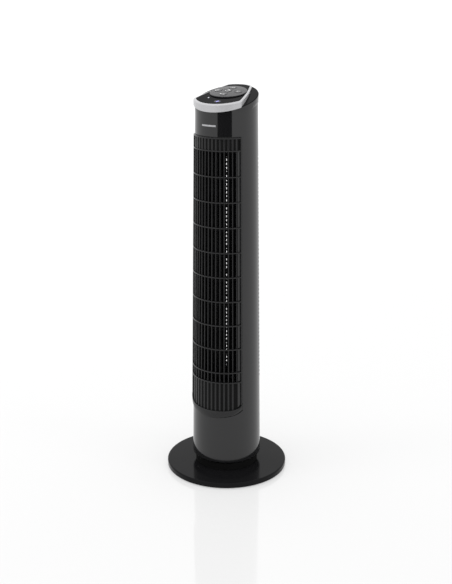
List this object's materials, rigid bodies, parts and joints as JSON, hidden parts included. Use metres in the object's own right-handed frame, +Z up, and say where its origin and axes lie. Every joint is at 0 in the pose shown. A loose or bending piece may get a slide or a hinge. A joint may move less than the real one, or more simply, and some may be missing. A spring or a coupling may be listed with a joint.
{
  "type": "tower fan",
  "caption": "Slim tapered tower fan on a round base: slatted front outlet, ribbed rear intake, slanted silver-rimmed control panel with push keys; swings and spins.",
  "frame": {"origin": "on the floor under the centre of the round base", "axes": "+Z up along the swivel axis, -Y the way the air blows at rest, +X to the right when seen from behind the fan"},
  "size_m": [0.24, 0.24, 0.7572],
  "materials": {
    "body_gloss": "gloss moulded black",
    "base_gloss": "high gloss black",
    "grille_black": "satin gloss black",
    "inner_black": "matte black moulding",
    "fan_black": "matte grey-black moulding",
    "silver": "satin silver paint on plastic",
    "panel_black": "piano black",
    "pad_grey": "soft-gloss grey",
    "key_grey": "soft-gloss grey",
    "smoke_lens": "tinted clear",
    "led_white": "moulded white",
    "chip_black": "epoxy black",
    "board_green": "solder mask",
    "screw_steel": "zinc plated",
    "shaft_steel": "ground steel",
    "lamination": "stacked sheet steel",
    "motor_alloy": "die cast",
    "copper": "enamelled copper wire",
    "bronze": "sintered bronze",
    "rubber_black": "moulded rubber",
    "gear_white": "natural acetal",
    "part_cream": "moulded cream",
    "wire_grey": "sleeved lead"
  },
  "bodies": {
    "base": {"base_disc": "base_gloss", "rubber_feet": "rubber_black", "base_neck": "inner_black", "neck_screws": "screw_steel", "glide_ring": "gear_white", "ring_gear": "gear_white", "gear_screws": "screw_steel"},
    "column": {"front_shell": "body_gloss", "rear_shell": "body_gloss", "collar": "body_gloss", "front_grille": "grille_black", "column_floor": "inner_black", "lower_deck": "inner_black", "upper_deck": "inner_black", "scroll_wall": "inner_black", "cutoff_tongue": "inner_black", "cord_gland": "inner_black", "harness_clips": "inner_black", "bezel": "silver", "control_panel": "panel_black", "key_frame": "pad_grey", "display_window": "smoke_lens", "ir_window": "smoke_lens", "display_led": "led_white", "ir_receiver": "chip_black", "tact_switches": "chip_black", "power_board_parts": "chip_black", "control_board": "board_green", "power_board": "board_green", "swing_motor_screws": "screw_steel", "floor_screws": "screw_steel", "collar_screws": "screw_steel", "shell_screws": "screw_steel", "board_screws": "screw_steel", "bell_screws": "screw_steel", "motor_mount_screws": "screw_steel", "motor_stator": "lamination", "motor_upper_bell": "motor_alloy", "motor_lower_bell": "motor_alloy", "swing_motor": "motor_alloy", "motor_winding": "copper", "motor_bushes": "bronze", "upper_bush": "bronze", "bush_rubber": "rubber_black", "motor_grommets": "rubber_black", "run_capacitor": "part_cream", "terminal_block": "part_cream", "wire_harness": "wire_grey"},
    "impeller": {"impeller": "fan_black", "hub_set_screw": "screw_steel", "stub_shaft": "shaft_steel", "motor_rotor": "lamination", "motor_shaft": "shaft_steel"},
    "pinion": {"swing_pinion": "gear_white"},
    "key_centre": {"key_centre": "key_grey"},
    "key_left": {"key_left": "key_grey"},
    "key_right": {"key_right": "key_grey"},
    "key_front": {"key_front": "key_grey"},
    "key_rear": {"key_rear": "key_grey"}
  },
  "joints": [
    {"name": "column_swing", "type": "hinge", "parent": "base", "child": "column", "pos_m": [0, 0, 0.034], "axis": [0, 0, 1], "range_deg": [-37.5, 37.5]},
    {"name": "impeller_spin", "type": "hinge", "parent": "column", "child": "impeller", "pos_m": [0, 0, 0.4], "axis": [0, 0, 1], "continuous": true},
    {"name": "pinion_turn", "type": "hinge", "parent": "column", "child": "pinion", "pos_m": [0, -0.036, 0.038], "axis": [0, 0, 1], "range_deg": [-113, 113]},
    {"name": "press_centre", "type": "slide", "parent": "column", "child": "key_centre", "axis": [0, 0.2204, -0.9754], "range_m": [0, 0.0008], "stiffness_N_per_m": 900},
    {"name": "press_left", "type": "slide", "parent": "column", "child": "key_left", "axis": [0, 0.2204, -0.9754], "range_m": [0, 0.0008], "stiffness_N_per_m": 900},
    {"name": "press_right", "type": "slide", "parent": "column", "child": "key_right", "axis": [0, 0.2204, -0.9754], "range_m": [0, 0.0008], "stiffness_N_per_m": 900},
    {"name": "press_front", "type": "slide", "parent": "column", "child": "key_front", "axis": [0, 0.2204, -0.9754], "range_m": [0, 0.0008], "stiffness_N_per_m": 900},
    {"name": "press_rear", "type": "slide", "parent": "column", "child": "key_rear", "axis": [0, 0.2204, -0.9754], "range_m": [0, 0.0008], "stiffness_N_per_m": 900}
  ],
  "couplings": [
    {"joint": "pinion_turn", "follows": "column_swing", "ratio": 3}
  ]
}
